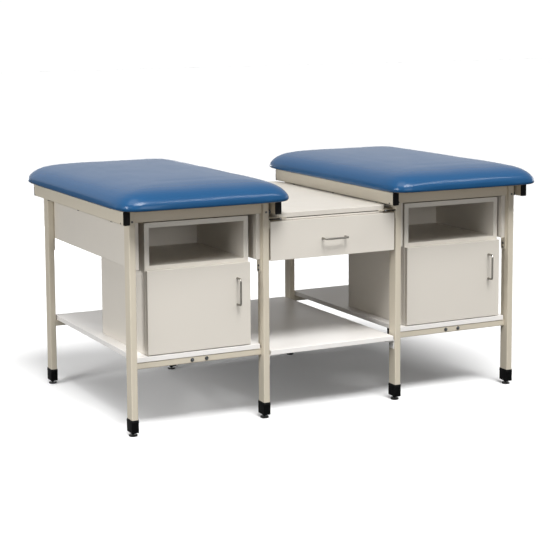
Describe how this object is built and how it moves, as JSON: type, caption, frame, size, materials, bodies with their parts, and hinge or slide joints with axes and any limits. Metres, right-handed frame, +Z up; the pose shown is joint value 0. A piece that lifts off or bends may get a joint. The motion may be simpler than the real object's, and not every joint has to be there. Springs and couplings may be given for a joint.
{
  "type": "taping table",
  "caption": "Two-seat athletic taping table with crowned vinyl pads on steel legs, a middle worktop with drawer, shelves below and a hinged-door cabinet under each seat.",
  "frame": {"origin": "on the floor under the middle of the whole table", "axes": "+X along the table to the right seat, as seen from the drawer side; -Y toward the person who opens the drawer and doors; +Z up"},
  "size_m": [1.8558, 1.182, 0.9475],
  "materials": {
    "powder_coated_steel": "beige powder coat, semi-matte",
    "beige_laminate": "beige laminate on board, semi-matte",
    "white_laminate": "white laminate on board, semi-matte",
    "blue_vinyl": "blue vinyl upholstery with a fine grain over foam",
    "black_plastic": "black moulded plastic",
    "satin_nickel": "satin nickel",
    "zinc_plated_steel": "zinc-plated steel",
    "plywood": "bare plywood"
  },
  "bodies": {
    "frame": {"left_outer_front_leg": "powder_coated_steel", "left_outer_rear_leg": "powder_coated_steel", "left_inner_front_leg": "powder_coated_steel", "left_inner_rear_leg": "powder_coated_steel", "right_outer_front_leg": "powder_coated_steel", "right_outer_rear_leg": "powder_coated_steel", "right_inner_front_leg": "powder_coated_steel", "right_inner_rear_leg": "powder_coated_steel", "left_outer_side_rail": "powder_coated_steel", "left_inner_side_rail": "powder_coated_steel", "right_outer_side_rail": "powder_coated_steel", "right_inner_side_rail": "powder_coated_steel", "left_front_upper_cross_rail": "powder_coated_steel", "left_rear_upper_cross_rail": "powder_coated_steel", "right_front_upper_cross_rail": "powder_coated_steel", "right_rear_upper_cross_rail": "powder_coated_steel", "left_front_lower_cross_rail": "powder_coated_steel", "left_rear_lower_cross_rail": "powder_coated_steel", "right_front_lower_cross_rail": "powder_coated_steel", "right_rear_lower_cross_rail": "powder_coated_steel", "left_stretcher": "powder_coated_steel", "right_stretcher": "powder_coated_steel", "left_shelf": "white_laminate", "right_shelf": "white_laminate", "left_outer_apron": "beige_laminate", "left_inner_apron": "beige_laminate", "right_outer_apron": "beige_laminate", "right_inner_apron": "beige_laminate", "left_seat_board": "plywood", "right_seat_board": "plywood", "left_seat_pad": "blue_vinyl", "right_seat_pad": "blue_vinyl", "worktop": "white_laminate", "left_worktop_support": "powder_coated_steel", "right_worktop_support": "powder_coated_steel", "centre_shelf": "white_laminate", "drawer_housing": "beige_laminate", "left_slide_channel": "zinc_plated_steel", "right_slide_channel": "zinc_plated_steel", "left_cabinet": "beige_laminate", "right_cabinet": "beige_laminate", "left_cabinet_back": "beige_laminate", "right_cabinet_back": "beige_laminate"},
    "drawer": {"drawer_front": "beige_laminate", "drawer_box": "white_laminate", "drawer_pull": "satin_nickel", "left_slide_bar": "zinc_plated_steel", "right_slide_bar": "zinc_plated_steel"},
    "left_door": {"left_door": "beige_laminate", "left_door_pull": "satin_nickel"},
    "right_door": {"right_door": "beige_laminate", "right_door_pull": "satin_nickel"},
    "left_outer_front_glide": {"left_outer_front_glide": "black_plastic"},
    "left_outer_rear_glide": {"left_outer_rear_glide": "black_plastic"},
    "left_inner_front_glide": {"left_inner_front_glide": "black_plastic"},
    "left_inner_rear_glide": {"left_inner_rear_glide": "black_plastic"},
    "right_outer_front_glide": {"right_outer_front_glide": "black_plastic"},
    "right_outer_rear_glide": {"right_outer_rear_glide": "black_plastic"},
    "right_inner_front_glide": {"right_inner_front_glide": "black_plastic"},
    "right_inner_rear_glide": {"right_inner_rear_glide": "black_plastic"}
  },
  "joints": [
    {"name": "drawer_slide", "type": "slide", "parent": "frame", "child": "drawer", "axis": [0, -1, 0], "range_m": [0, 0.33]},
    {"name": "left_door_hinge", "type": "hinge", "parent": "frame", "child": "left_door", "pos_m": [-0.784, -0.435, 0.4611], "axis": [0, 0, -1], "range_deg": [0, 110]},
    {"name": "right_door_hinge", "type": "hinge", "parent": "frame", "child": "right_door", "pos_m": [0.354, -0.435, 0.4611], "axis": [0, 0, -1], "range_deg": [0, 110]},
    {"name": "left_outer_front_levelling", "type": "slide", "parent": "frame", "child": "left_outer_front_glide", "axis": [0, 0, -1], "range_m": [0, 0.012]},
    {"name": "left_outer_rear_levelling", "type": "slide", "parent": "frame", "child": "left_outer_rear_glide", "axis": [0, 0, -1], "range_m": [0, 0.012]},
    {"name": "left_inner_front_levelling", "type": "slide", "parent": "frame", "child": "left_inner_front_glide", "axis": [0, 0, -1], "range_m": [0, 0.012]},
    {"name": "left_inner_rear_levelling", "type": "slide", "parent": "frame", "child": "left_inner_rear_glide", "axis": [0, 0, -1], "range_m": [0, 0.012]},
    {"name": "right_inner_front_levelling", "type": "slide", "parent": "frame", "child": "right_inner_front_glide", "axis": [0, 0, -1], "range_m": [0, 0.012]},
    {"name": "right_inner_rear_levelling", "type": "slide", "parent": "frame", "child": "right_inner_rear_glide", "axis": [0, 0, -1], "range_m": [0, 0.012]},
    {"name": "right_outer_front_levelling", "type": "slide", "parent": "frame", "child": "right_outer_front_glide", "axis": [0, 0, -1], "range_m": [0, 0.012]},
    {"name": "right_outer_rear_levelling", "type": "slide", "parent": "frame", "child": "right_outer_rear_glide", "axis": [0, 0, -1], "range_m": [0, 0.012]}
  ]
}
